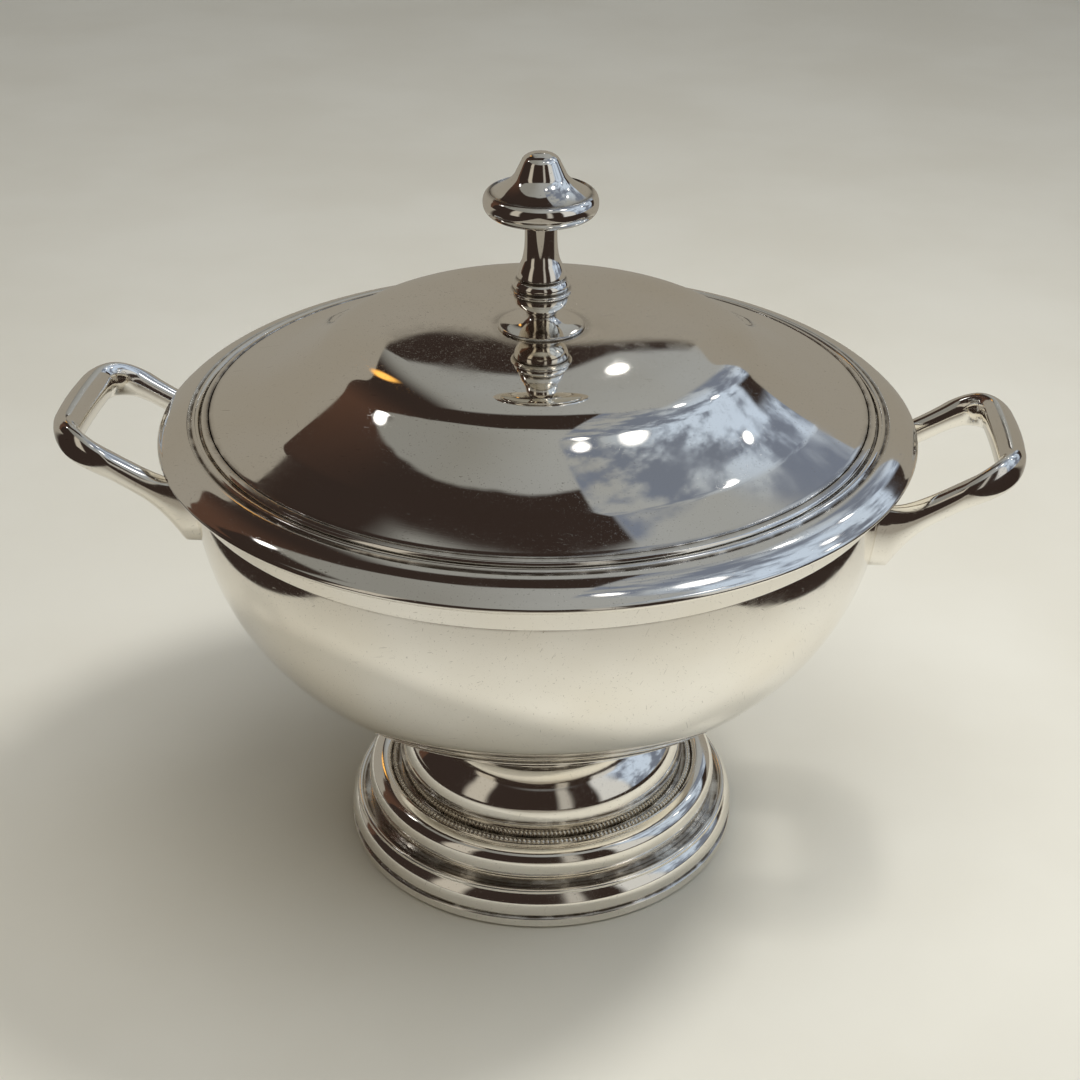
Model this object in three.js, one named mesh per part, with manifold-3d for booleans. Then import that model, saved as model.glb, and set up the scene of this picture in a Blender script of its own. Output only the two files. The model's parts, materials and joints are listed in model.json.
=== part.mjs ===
// A silver-plated soup tureen: a bowl on a stepped pedestal foot, with two loop handles and
// a domed lid that lifts off. Millimetres, +Z up. The origin is the centre of the foot's
// underside, the handles lie along X and the front faces -Y.
import * as THREE from 'three';
import { mergeVertices } from 'three/addons/utils/BufferGeometryUtils.js';
import Module from 'manifold-3d';

const wasm = await Module();
wasm.setup();

// ---- driving dimensions -------------------------------------------------------------------

// Heights of the joints between the pieces, from the table up.
const BASE_RING_TOP = 4.6;
const BAND_TOP = 13.9;
const STEP_TOP = 24.4;
const NECK_TOP = 47.2;
const BOWL_BOTTOM = 59.6;
const SKIRT_BOTTOM = 151.9;
const RIM_EDGE = 161.9;
const LID_SEAT = 167.3;
const LID_CROWN = 195;
const STEM_BOTTOM = 206.2;
const KNOB_BOTTOM = 230.6;
const OVERALL_HEIGHT = 251.6;

// Radii.
const BASE_RADIUS = 71.4;
const TORUS_RADIUS = 64.4;
const NECK_RADIUS = 52.4;
const BOWL_RADIUS = 116;
const RIM_RADIUS = 125;
const SEAT_RADIUS = 111.4;
const LID_RADIUS = 110.9;
const BEZEL_RADIUS = 108;
const CAP_RADIUS = 65;
const KNOB_RADIUS = 18.2;
const STUD_RADIUS = 2.5;

// Sheet thicknesses and clearances.
const BOWL_WALL = 1.5;
const LID_WALL = 1.3;
const FOOT_WALL = 1.3;
const SOLDER_GAP = 0.3;
const STUD_CLEARANCE = 0.15;
const BEZEL_CLEARANCE = 0.4;

// Handles: the section spans from an inner to an outer plan-view loop, and the middle of the
// section rises from the root to the bow.
const HANDLE_OUTER = { reach: 160, halfSpread: 33, corner: 22 };
const HANDLE_INNER = { reach: 149.6, halfSpread: 25, corner: 6 };
const HANDLE_ROOT_HEIGHT = 144;
const HANDLE_BOW_HEIGHT = 159.4;
const HANDLE_ARM_DEPTH = 10;
const HANDLE_BOW_DEPTH = 12.6;
const HANDLE_ARM_TILT = -0.3;
const HANDLE_TANG_DROP = 12;

// Facets round a full turn.
const LARGE_TURN = 32;
const SMALL_TURN = 20;

// ---- helpers ------------------------------------------------------------------------------

const point = (r, z) => new THREE.Vector2(r, z);

// A leg of an outline that bends towards a corner point on its way to its end.
const bend = (cornerR, cornerZ, r, z, steps = 3) =>
  ({ corner: point(cornerR, cornerZ), end: point(r, z), steps });

// Joins straight legs, given as [r, z], and bends into one list of points.
function outline(start, ...legs) {
  const points = [point(...start)];
  for (const leg of legs) {
    if (Array.isArray(leg)) {
      points.push(point(...leg));
      continue;
    }
    const curve = new THREE.QuadraticBezierCurve(points.at(-1), leg.corner, leg.end);
    points.push(...curve.getPoints(leg.steps).slice(1));
  }
  return points;
}

// Turns a half section, drawn counter-clockwise in (radius, height), about the Z axis.
function turned(points, segments) {
  const startsOnAxis = points[0].x === 0;
  const profile = startsOnAxis ? points : [...points, points[0].clone()];
  return new THREE.LatheGeometry(profile, segments).rotateX(Math.PI / 2);
}

function toSolid(geometry) {
  const bare = geometry.clone();
  bare.deleteAttribute('normal');
  bare.deleteAttribute('uv');
  const merged = mergeVertices(bare, 1e-4);
  const vertProperties = new Float32Array(merged.attributes.position.array);
  const triVerts = new Uint32Array(merged.index.array);
  return new wasm.Manifold(new wasm.Mesh({ numProp: 3, vertProperties, triVerts }));
}

function toGeometry(solid) {
  const mesh = solid.getMesh();
  const geometry = new THREE.BufferGeometry();
  geometry.setAttribute('position', new THREE.BufferAttribute(new Float32Array(mesh.vertProperties), 3));
  geometry.setIndex(new THREE.BufferAttribute(new Uint32Array(mesh.triVerts), 1));
  geometry.computeVertexNormals();
  return geometry;
}

const plate = (roughness = 0.12) =>
  new THREE.MeshStandardMaterial({ color: 0xd9d5c9, roughness, metalness: 1 });

const brass = () => new THREE.MeshStandardMaterial({ color: 0xc9a66b, roughness: 0.35, metalness: 1 });

function piece(name, geometry, material = plate()) {
  const mesh = new THREE.Mesh(geometry, material);
  mesh.name = name;
  return mesh;
}

// ---- foot ---------------------------------------------------------------------------------

// The flat ring that the tureen stands on.
function footBaseRing() {
  const inner = BASE_RADIUS - 11;
  return turned(outline(
    [inner, 0],
    [BASE_RADIUS - 0.9, 0],
    [BASE_RADIUS, 1],
    [BASE_RADIUS, BASE_RING_TOP - 0.7],
    [BASE_RADIUS - 0.7, BASE_RING_TOP],
    [inner, BASE_RING_TOP],
  ), LARGE_TURN);
}

// The spun outer band: a swelling side, a thin ridge and the groove inside it.
function footBand() {
  const side = BASE_RADIUS - 0.9;
  const ridge = BASE_RADIUS - 3.8;
  const ledge = BASE_RADIUS - 11;
  return turned(outline(
    [side - FOOT_WALL, BASE_RING_TOP],
    [side, BASE_RING_TOP],
    bend(BASE_RADIUS + 1.2, 9.5, ridge + 1.3, BAND_TOP - 0.4, 5),
    [ridge, BAND_TOP + 0.9],
    [ridge - 1.6, BAND_TOP],
    [ledge, BAND_TOP],
    [ledge, BAND_TOP - FOOT_WALL],
    [ridge - 1.2, BAND_TOP - FOOT_WALL],
    bend(BASE_RADIUS - 1, 9, side - FOOT_WALL, BASE_RING_TOP, 4),
  ).slice(0, -1), LARGE_TURN);
}

// The convex moulding above the groove, with the ledge that carries the neck.
function footTorus() {
  const ledge = NECK_RADIUS - 3.5;
  const crown = TORUS_RADIUS - 6.2;
  const wall = FOOT_WALL;
  return turned(outline(
    [TORUS_RADIUS - wall - 0.2, BAND_TOP],
    [TORUS_RADIUS - 0.2, BAND_TOP],
    [TORUS_RADIUS, BAND_TOP + 5.5],
    bend(TORUS_RADIUS, STEP_TOP + 2.2, crown, STEP_TOP + 2.4, 4),
    bend(crown - 2, STEP_TOP + 2.2, crown - 2.3, STEP_TOP, 2),
    [ledge, STEP_TOP],
    [ledge, STEP_TOP - wall],
    [crown - 1.6, STEP_TOP - wall],
    [crown - 0.6, STEP_TOP + 0.9],
    bend(TORUS_RADIUS - wall, STEP_TOP + 0.9, TORUS_RADIUS - wall, BAND_TOP + 5.5, 3),
  ), LARGE_TURN);
}

// The fine wire ring that lies on the ledge at the neck's foot.
function footMilledRing() {
  const middle = NECK_RADIUS + 2.2;
  const half = 1.1;
  return turned(outline(
    [middle - half, STEP_TOP],
    [middle + half, STEP_TOP],
    [middle + half * 0.8, STEP_TOP + 1.2],
    [middle, STEP_TOP + 1.7],
    [middle - half * 0.8, STEP_TOP + 1.2],
  ), LARGE_TURN);
}

// The domed drum of the pedestal: an upright band, a step, and a shoulder that closes in.
function footNeck() {
  const bandTop = STEP_TOP + 6.4;
  const wallRadius = NECK_RADIUS - 0.8;
  const ledge = 36;
  const inside = wallRadius - FOOT_WALL;
  return turned(outline(
    [inside, STEP_TOP],
    [NECK_RADIUS, STEP_TOP],
    [NECK_RADIUS, bandTop],
    [wallRadius, bandTop + 0.4],
    bend(wallRadius - 0.3, STEP_TOP + 13, wallRadius - 4.6, NECK_TOP - 5, 3),
    bend(wallRadius - 7.6, NECK_TOP - 1.4, wallRadius - 10.6, NECK_TOP, 2),
    [ledge, NECK_TOP],
    [ledge, NECK_TOP - FOOT_WALL],
    [wallRadius - 11, NECK_TOP - FOOT_WALL],
    bend(inside - 0.2, STEP_TOP + 15, inside, bandTop, 4),
  ), LARGE_TURN);
}

// The turned collar between the neck and the bowl.
function footCollar() {
  const bead = 42.8;
  const waist = 40;
  const bore = 31;
  return turned(outline(
    [bore, NECK_TOP],
    [bead - 1.2, NECK_TOP],
    bend(bead + 0.9, NECK_TOP + 1.9, bead - 1, NECK_TOP + 3.8, 4),
    [waist + 0.6, NECK_TOP + 4.2],
    bend(waist - 0.6, NECK_TOP + 8, waist + 0.8, BOWL_BOTTOM - 0.6, 3),
    [waist + 0.8, BOWL_BOTTOM],
    [bore, BOWL_BOTTOM],
  ), LARGE_TURN);
}

// ---- bowl ---------------------------------------------------------------------------------

// The bowl's section is a rounded curve between a circle and a square: a superellipse whose
// widest ring is at the bottom of the rim's skirt.
const BOWL_CURVE = 2.35;
const BOWL_DEPTH = SKIRT_BOTTOM - BOWL_BOTTOM + 2.6;

function bowlRadiusAt(height, radius, depth) {
  const drop = Math.max(SKIRT_BOTTOM - height, 0) / depth;
  return radius * (1 - drop ** BOWL_CURVE) ** (1 / BOWL_CURVE);
}

// Points up one face of the bowl, closer together near the bottom where the curve is tight.
function bowlFace(radius, depth, floor, steps) {
  const points = [];
  for (let i = 0; i <= steps; i += 1) {
    const height = SKIRT_BOTTOM - (SKIRT_BOTTOM - floor) * Math.cos((i / steps) * Math.PI / 2);
    points.push(point(bowlRadiusAt(height, radius, depth), height));
  }
  return points;
}

const BOWL_LIP = LID_SEAT - 3;

function bowlShell() {
  const outer = bowlFace(BOWL_RADIUS, BOWL_DEPTH, BOWL_BOTTOM, 11);
  const inner = bowlFace(BOWL_RADIUS - BOWL_WALL, BOWL_DEPTH - BOWL_WALL, BOWL_BOTTOM + BOWL_WALL, 10);
  return turned([
    point(0, BOWL_BOTTOM),
    ...outer,
    point(BOWL_RADIUS, BOWL_LIP),
    point(BOWL_RADIUS - BOWL_WALL, BOWL_LIP),
    ...inner.reverse(),
    point(0, BOWL_BOTTOM + BOWL_WALL),
  ], LARGE_TURN);
}

// The rim moulding is a cap over the bowl's edge: a skirt outside, a beaded edge, a cushioned
// slope, a lip, and the ledge inside it that the lid sits on.
function rimFlange() {
  const skirt = BOWL_RADIUS + 2;
  const lip = SEAT_RADIUS + 1.2;
  const ledge = BEZEL_RADIUS + BEZEL_CLEARANCE;
  const gap = 0.1;
  const under = LID_SEAT - 6.4;
  return turned(outline(
    [BOWL_RADIUS + gap, SKIRT_BOTTOM],
    [skirt, SKIRT_BOTTOM],
    [skirt + 0.9, RIM_EDGE - 3],
    [RIM_RADIUS - 1.6, RIM_EDGE - 1.5],
    bend(RIM_RADIUS + 1.25, RIM_EDGE, RIM_RADIUS - 0.9, RIM_EDGE + 1.5, 4),
    bend(RIM_RADIUS - 4.4, LID_SEAT, lip + 2.6, LID_SEAT + 0.9, 4),
    [lip + 1.4, LID_SEAT + 0.5],
    [lip, LID_SEAT + 1.7],
    [SEAT_RADIUS + 0.2, LID_SEAT + 1.3],
    [SEAT_RADIUS, LID_SEAT],
    [ledge, LID_SEAT],
    [ledge, under],
    [BOWL_RADIUS - BOWL_WALL - gap, under],
    [BOWL_RADIUS - BOWL_WALL - gap, BOWL_LIP + gap],
    [BOWL_RADIUS + gap, BOWL_LIP + gap],
  ), LARGE_TURN);
}

// ---- handles ------------------------------------------------------------------------------

// What the handles must stay clear of: the bowl and the rim, swollen by the solder gap.
function handleKeepOut() {
  const face = bowlFace(BOWL_RADIUS + SOLDER_GAP, BOWL_DEPTH + SOLDER_GAP, BOWL_BOTTOM, 11);
  const skirt = BOWL_RADIUS + 2 + SOLDER_GAP;
  return turned([
    point(0, BOWL_BOTTOM),
    ...face,
    point(skirt, SKIRT_BOTTOM - SOLDER_GAP),
    point(skirt + 0.9, RIM_EDGE - 3 - SOLDER_GAP),
    point(RIM_RADIUS, RIM_EDGE - 1.5 - SOLDER_GAP),
    point(RIM_RADIUS + 1, LID_SEAT),
    point(0, LID_SEAT),
  ], LARGE_TURN);
}

// Half of a plan-view loop and its mirror image: an arm, a rounded corner and the bow.
function handleLoop({ reach, halfSpread, corner }) {
  const armSteps = 7;
  const cornerSteps = 5;
  const root = BOWL_RADIUS - 8;
  const bowSwell = 0.5;
  const half = [];
  for (let i = 0; i < armSteps; i += 1) {
    half.push(point(THREE.MathUtils.lerp(root, reach - corner, i / armSteps), -halfSpread));
  }
  for (let i = 0; i <= cornerSteps; i += 1) {
    const angle = (i / cornerSteps - 1) * Math.PI / 2;
    half.push(point(
      reach + corner * (Math.cos(angle) - 1),
      -halfSpread + corner * (Math.sin(angle) + 1),
    ));
  }
  half.push(point(reach + bowSwell * 0.75, (corner - halfSpread) / 2));
  const mirrored = half.map(({ x, y }) => point(x, -y)).reverse();
  return [...half, point(reach + bowSwell, 0), ...mirrored];
}

// The heights of the section at one distance from the bowl's axis. The bow is deeper than the
// arms, and near the bowl the underside sweeps down to form a tang.
function handleHeights(x) {
  const { smoothstep, lerp, clamp } = THREE.MathUtils;
  const outward = smoothstep(x, HANDLE_OUTER.reach - 24, HANDLE_OUTER.reach - 8);
  const climb = smoothstep(x, BOWL_RADIUS, HANDLE_OUTER.reach - 6);
  const tangReach = 15;
  const tang = (1 - clamp((x - BOWL_RADIUS) / tangReach, 0, 1)) ** 2.2;
  const depth = lerp(HANDLE_ARM_DEPTH, HANDLE_BOW_DEPTH, outward);
  const middle = lerp(HANDLE_ROOT_HEIGHT, HANDLE_BOW_HEIGHT, climb);
  return {
    top: middle + depth / 2,
    bottom: middle - depth / 2 - HANDLE_TANG_DROP * tang,
    tilt: HANDLE_ARM_TILT * (1 - outward) * (1 - tang),
  };
}

// A closed tube between the two loops. It starts as a cylinder whose rings are moved to their
// places on the loops, so its ends are capped.
function handle() {
  const around = 12;
  const squareness = 2.4;
  const outer = handleLoop(HANDLE_OUTER);
  const inner = handleLoop(HANDLE_INNER);
  const last = outer.length - 1;
  const tube = new THREE.CylinderGeometry(1, 1, 1, around, last);
  const position = tube.attributes.position;
  const rounded = (value) => Math.sign(value) * Math.abs(value) ** (2 / squareness);
  for (let i = 0; i < position.count; i += 1) {
    const ring = Math.round((position.getY(i) + 0.5) * last);
    const middle = outer[ring].clone().lerp(inner[ring], 0.5);
    const halfWidth = outer[ring].clone().sub(middle);
    const side = rounded(position.getX(i));
    const { top, bottom, tilt } = handleHeights(middle.x);
    const rise = rounded(position.getZ(i)) * (top - bottom) / 2;
    const lean = tilt * side * halfWidth.length();
    position.setXYZ(
      i,
      middle.x + halfWidth.x * side,
      middle.y + halfWidth.y * side,
      (top + bottom) / 2 + rise + lean,
    );
  }
  return toGeometry(toSolid(tube).subtract(toSolid(handleKeepOut())));
}

// ---- lid ----------------------------------------------------------------------------------

// One face of the lid, from the stud hole out to the edge: a flat seat for the finial, a
// nearly level cap, a shoulder, a hollow, and a gentle slope to the edge.
function lidFace(bore, sink) {
  const down = (drop) => LID_CROWN - sink - drop;
  const shoulder = CAP_RADIUS - sink * 0.4;
  return outline(
    [bore, down(0)],
    [28, down(0)],
    bend(shoulder - 26, down(0), shoulder - 15, down(0.6), 2),
    [shoulder - 6, down(1)],
    bend(shoulder + 0.5, down(1.6), shoulder + 6, down(7), 4),
    bend(shoulder + 14, down(15), shoulder + 28, down(20), 3),
    bend(shoulder + 35, down(22.5), BEZEL_RADIUS - 0.6, LID_SEAT + 2.9 - sink, 2),
  );
}

const LID_EDGE_UNDER = LID_SEAT + 1.3;

function lidShell() {
  const bore = STUD_RADIUS + STUD_CLEARANCE;
  const outer = lidFace(bore, 0);
  const inner = lidFace(bore, LID_WALL).slice(0, -1);
  const edge = [
    point(BEZEL_RADIUS - 5, LID_EDGE_UNDER),
    point(BEZEL_RADIUS + 0.1, LID_EDGE_UNDER),
    point(BEZEL_RADIUS + 0.1, LID_SEAT + 2.5),
  ];
  return turned([...inner, ...edge, ...outer.reverse()], LARGE_TURN);
}

// The rolled wire round the lid's edge, which rests on the ledge inside the rim.
function lidEdgeWire() {
  const inner = BEZEL_RADIUS + 0.3;
  return turned(outline(
    [inner, LID_SEAT],
    [LID_RADIUS - 0.5, LID_SEAT],
    bend(LID_RADIUS + 0.3, LID_SEAT + 1.2, LID_RADIUS - 0.6, LID_SEAT + 2.3, 3),
    [inner + 0.4, LID_SEAT + 2.7],
    [inner, LID_SEAT + 2.3],
  ), LARGE_TURN);
}

// The upright ring under the lid that drops inside the rim and keeps the lid centred.
function lidBezel() {
  const depth = 11;
  return turned(outline(
    [BEZEL_RADIUS - 1.3, LID_EDGE_UNDER - depth],
    [BEZEL_RADIUS - 0.4, LID_EDGE_UNDER - depth],
    [BEZEL_RADIUS, LID_EDGE_UNDER - depth + 1],
    [BEZEL_RADIUS, LID_EDGE_UNDER],
    [BEZEL_RADIUS - 1.3, LID_EDGE_UNDER],
  ), LARGE_TURN);
}

// ---- finial -------------------------------------------------------------------------------

const FINIAL_BORE = STUD_RADIUS + STUD_CLEARANCE;

// The disc and cup that sit on the lid.
function finialFoot() {
  const disc = 14.2;
  return turned(outline(
    [FINIAL_BORE, LID_CROWN],
    [disc - 0.2, LID_CROWN],
    [disc, LID_CROWN + 0.5],
    [disc - 0.6, LID_CROWN + 0.9],
    bend(6.4, LID_CROWN + 1.1, 4.4, LID_CROWN + 4, 4),
    [5.4, LID_CROWN + 5.2],
    [5.2, LID_CROWN + 5.7],
    bend(9.2, LID_CROWN + 7.2, 8.9, STEM_BOTTOM, 4),
    [FINIAL_BORE, STEM_BOTTOM],
  ), SMALL_TURN);
}

// The baluster stem: a thin saucer, a collar, a groove and a taper up to the knob.
function finialStem() {
  return turned(outline(
    [FINIAL_BORE, STEM_BOTTOM],
    [9, STEM_BOTTOM],
    [10.2, STEM_BOTTOM + 1],
    [10.1, STEM_BOTTOM + 1.6],
    [8.9, STEM_BOTTOM + 1.9],
    bend(9.7, STEM_BOTTOM + 3.4, 8.3, STEM_BOTTOM + 4.9, 3),
    [7.5, STEM_BOTTOM + 5.2],
    [7.9, STEM_BOTTOM + 5.8],
    bend(7.5, STEM_BOTTOM + 8.4, 6.2, STEM_BOTTOM + 10.8, 3),
    bend(4.9, STEM_BOTTOM + 14.5, 5.2, KNOB_BOTTOM - 1.4, 3),
    [5.6, KNOB_BOTTOM],
    [FINIAL_BORE, KNOB_BOTTOM],
  ), SMALL_TURN);
}

const STUD_TOP = KNOB_BOTTOM + 10;

// The mushroom knob: a hollowed underside, a fat bead, a crease and a bell-shaped top.
function finialKnob() {
  const bead = KNOB_BOTTOM + 5;
  return turned(outline(
    [0, STUD_TOP + 0.5],
    [FINIAL_BORE, STUD_TOP + 0.5],
    [FINIAL_BORE, KNOB_BOTTOM],
    [6.4, KNOB_BOTTOM],
    bend(9, KNOB_BOTTOM + 1.4, 15, KNOB_BOTTOM + 1.3, 2),
    bend(18, bead - 2.8, KNOB_RADIUS, bead, 3),
    bend(18.4, bead + 3, 16.2, bead + 4, 3),
    [16, bead + 3.6],
    bend(10.6, bead + 5.8, 8.3, bead + 9, 3),
    bend(6.8, bead + 12, 6.1, bead + 13.4, 2),
    bend(5, OVERALL_HEIGHT, 0, OVERALL_HEIGHT, 3),
  ), SMALL_TURN);
}

// The threaded stud from inside the lid up into the knob.
function finialStud() {
  const below = LID_CROWN - LID_WALL - 7;
  return turned(outline(
    [0, below],
    [STUD_RADIUS - 0.4, below],
    [STUD_RADIUS, below + 0.5],
    [STUD_RADIUS, STUD_TOP - 0.5],
    [STUD_RADIUS - 0.4, STUD_TOP],
    [0, STUD_TOP],
  ), SMALL_TURN);
}

const WASHER_TOP = LID_CROWN - LID_WALL;
const WASHER_THICKNESS = 1.2;

function finialWasher() {
  return turned(outline(
    [FINIAL_BORE, WASHER_TOP - WASHER_THICKNESS],
    [9, WASHER_TOP - WASHER_THICKNESS],
    [9, WASHER_TOP],
    [FINIAL_BORE, WASHER_TOP],
  ), SMALL_TURN);
}

// The hexagon nut that clamps the finial to the lid.
function finialNut() {
  const thickness = 3.6;
  const acrossCorners = 9.2;
  const top = WASHER_TOP - WASHER_THICKNESS;
  const hexagon = new THREE.Shape();
  for (let i = 0; i < 6; i += 1) {
    const angle = (i / 6) * 2 * Math.PI;
    const x = (acrossCorners / 2) * Math.cos(angle);
    const y = (acrossCorners / 2) * Math.sin(angle);
    if (i === 0) {
      hexagon.moveTo(x, y);
    } else {
      hexagon.lineTo(x, y);
    }
  }
  hexagon.holes.push(new THREE.Path().absarc(0, 0, FINIAL_BORE, 0, 2 * Math.PI, true));
  const settings = { depth: thickness, bevelEnabled: false, curveSegments: 8 };
  return new THREE.ExtrudeGeometry(hexagon, settings).translate(0, 0, top - thickness);
}

// ---- assembly -----------------------------------------------------------------------------

const rightHandle = piece('handle_right', handle());
const leftHandle = piece('handle_left', rightHandle.geometry.clone().rotateZ(Math.PI));

const body = new THREE.Group();
body.add(
  piece('foot_base_ring', footBaseRing(), plate(0.2)),
  piece('foot_band', footBand()),
  piece('foot_torus', footTorus()),
  piece('foot_milled_ring', footMilledRing(), plate(0.3)),
  piece('foot_neck', footNeck()),
  piece('foot_collar', footCollar()),
  piece('bowl_shell', bowlShell(), plate(0.16)),
  piece('rim_flange', rimFlange()),
  leftHandle,
  rightHandle,
);

const lid = new THREE.Group();
lid.add(
  piece('lid_shell', lidShell()),
  piece('lid_edge_wire', lidEdgeWire()),
  piece('lid_bezel', lidBezel(), plate(0.25)),
  piece('finial_foot', finialFoot()),
  piece('finial_stem', finialStem()),
  piece('finial_knob', finialKnob()),
  piece('finial_stud', finialStud(), brass()),
  piece('finial_washer', finialWasher(), brass()),
  piece('finial_nut', finialNut(), brass()),
);

const tureen = new THREE.Group();
tureen.add(body, lid);

export default tureen;
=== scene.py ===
"""A silver-plated soup tureen: the finished surfaces, the studio and the camera.

Every piece is turned or lofted again at full smoothness on the sizes of its CAD node, and
rides on that node's body. Outlines are in millimetres and meshes in metres, +Z up.
"""

import json
import math

import bpy
import numpy as np
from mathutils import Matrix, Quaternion, Vector

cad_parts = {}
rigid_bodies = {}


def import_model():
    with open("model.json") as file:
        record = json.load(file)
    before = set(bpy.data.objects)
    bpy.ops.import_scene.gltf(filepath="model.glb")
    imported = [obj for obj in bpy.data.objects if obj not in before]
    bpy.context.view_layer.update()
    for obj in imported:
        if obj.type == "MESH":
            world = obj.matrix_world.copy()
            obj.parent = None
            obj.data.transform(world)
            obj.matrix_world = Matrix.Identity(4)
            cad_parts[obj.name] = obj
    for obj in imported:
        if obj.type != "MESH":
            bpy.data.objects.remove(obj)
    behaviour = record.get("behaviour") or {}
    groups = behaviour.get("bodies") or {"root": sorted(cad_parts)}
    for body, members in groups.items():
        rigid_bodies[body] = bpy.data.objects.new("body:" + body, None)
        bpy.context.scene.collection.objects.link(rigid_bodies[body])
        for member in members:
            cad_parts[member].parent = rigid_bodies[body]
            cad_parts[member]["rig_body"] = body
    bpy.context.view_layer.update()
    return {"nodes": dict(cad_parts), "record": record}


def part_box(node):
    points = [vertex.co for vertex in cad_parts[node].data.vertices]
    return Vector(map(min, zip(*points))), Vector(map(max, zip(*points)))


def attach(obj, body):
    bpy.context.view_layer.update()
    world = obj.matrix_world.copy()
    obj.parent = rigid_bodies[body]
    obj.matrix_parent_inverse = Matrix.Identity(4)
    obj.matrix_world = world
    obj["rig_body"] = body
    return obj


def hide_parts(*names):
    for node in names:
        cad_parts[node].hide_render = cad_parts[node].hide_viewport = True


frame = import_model()

MM = 0.001

# ---- sizes read from the frame, in millimetres --------------------------------------------


def bottom_of(node):
    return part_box(node)[0].z / MM


def top_of(node):
    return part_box(node)[1].z / MM


def radius_of(node):
    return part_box(node)[1].x / MM


BASE_RING_TOP = top_of("foot_base_ring")
BAND_TOP = bottom_of("foot_torus")
STEP_TOP = bottom_of("foot_neck")
NECK_TOP = top_of("foot_neck")
BOWL_BOTTOM = bottom_of("bowl_shell")
SKIRT_BOTTOM = bottom_of("rim_flange")
LID_SEAT = bottom_of("lid_edge_wire")
LID_CROWN = bottom_of("finial_foot")
STEM_BOTTOM = bottom_of("finial_stem")
KNOB_BOTTOM = bottom_of("finial_knob")
OVERALL_HEIGHT = top_of("finial_knob")
RIM_EDGE = SKIRT_BOTTOM + 10

BASE_RADIUS = radius_of("foot_base_ring")
TORUS_RADIUS = radius_of("foot_torus")
NECK_RADIUS = radius_of("foot_neck")
BOWL_RADIUS = radius_of("bowl_shell")
RIM_RADIUS = radius_of("rim_flange")
BEZEL_RADIUS = radius_of("lid_bezel")
SEAT_RADIUS = BEZEL_RADIUS + 3.4
LID_RADIUS = SEAT_RADIUS - 0.5
CAP_RADIUS = 65
KNOB_RADIUS = radius_of("finial_knob")
STUD_RADIUS = radius_of("finial_stud")
STUD_BOTTOM = bottom_of("finial_stud")
STUD_TOP = top_of("finial_stud")
WASHER_BOTTOM = bottom_of("finial_washer")
WASHER_TOP = top_of("finial_washer")
WASHER_RADIUS = radius_of("finial_washer")
NUT_BOTTOM = bottom_of("finial_nut")
NUT_ACROSS_CORNERS = 2 * radius_of("finial_nut")

BOWL_WALL = 1.5
LID_WALL = 1.3
FOOT_WALL = 1.3
STUD_BORE = STUD_RADIUS + 0.15
BOWL_LIP = LID_SEAT - 3

# ---- outlines -----------------------------------------------------------------------------


def bend(corner_r, corner_z, r, z, steps=10):
    """A leg of an outline that bends towards a corner point on its way to its end."""
    return {"corner": (corner_r, corner_z), "end": (r, z), "steps": steps}


def bent(start, leg):
    """The points of a bend after its start."""
    share = np.linspace(0, 1, leg["steps"] + 1)[1:, None]
    start, corner, end = map(np.array, (start, leg["corner"], leg["end"]))
    return list((1 - share) ** 2 * start + 2 * share * (1 - share) * corner + share**2 * end)


def outline(start, *legs):
    """Joins straight legs, given as (r, z), and bends into one list of points."""
    points = [np.array(start, float)]
    for leg in legs:
        if isinstance(leg, dict):
            points += bent(points[-1], leg)
        else:
            points.append(np.array(leg, float))
    return points


def ease_corners(points, closed, cut=0.3, sharpest=math.radians(16)):
    """Rounds each sharp corner of an outline, as polishing does."""
    eased = []
    last = len(points) - 1
    for i, here in enumerate(points):
        if not closed and i in (0, last):
            eased.append(here)
            continue
        before = points[i - 1] - here
        after = points[(i + 1) % len(points)] - here
        length_before = np.linalg.norm(before)
        length_after = np.linalg.norm(after)
        straight = np.dot(before, after) / (length_before * length_after)
        if math.acos(np.clip(-straight, -1, 1)) < sharpest:
            eased.append(here)
            continue
        start = here + before * min(cut / length_before, 0.4)
        end = here + after * min(cut / length_after, 0.4)
        eased.append(start)
        eased += bent(start, {"corner": here, "end": end, "steps": 5})
    return eased


def split_long_legs(points, closed, longest):
    """Adds points along straight legs, so that the grime and painted shade can fade along them."""
    result = []
    for i, here in enumerate(points):
        result.append(here)
        if not closed and i == len(points) - 1:
            break
        step = points[(i + 1) % len(points)] - here
        parts = math.ceil(np.linalg.norm(step) / longest)
        result += [here + step * k / parts for k in range(1, parts)]
    return result


def outline_normals(points, closed):
    """The outward direction at each point, leaning to its longer leg, so that flats stay flat."""
    points = np.array(points)
    legs = np.roll(points, -1, axis=0) - points
    if not closed:
        legs[-1] = 0
    normals = np.column_stack([legs[:, 1], -legs[:, 0]])
    normals = normals + np.roll(normals, 1, axis=0)
    if not closed:
        normals[[0, -1], 0] = 0
    return normals / np.linalg.norm(normals, axis=1, keepdims=True)
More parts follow.
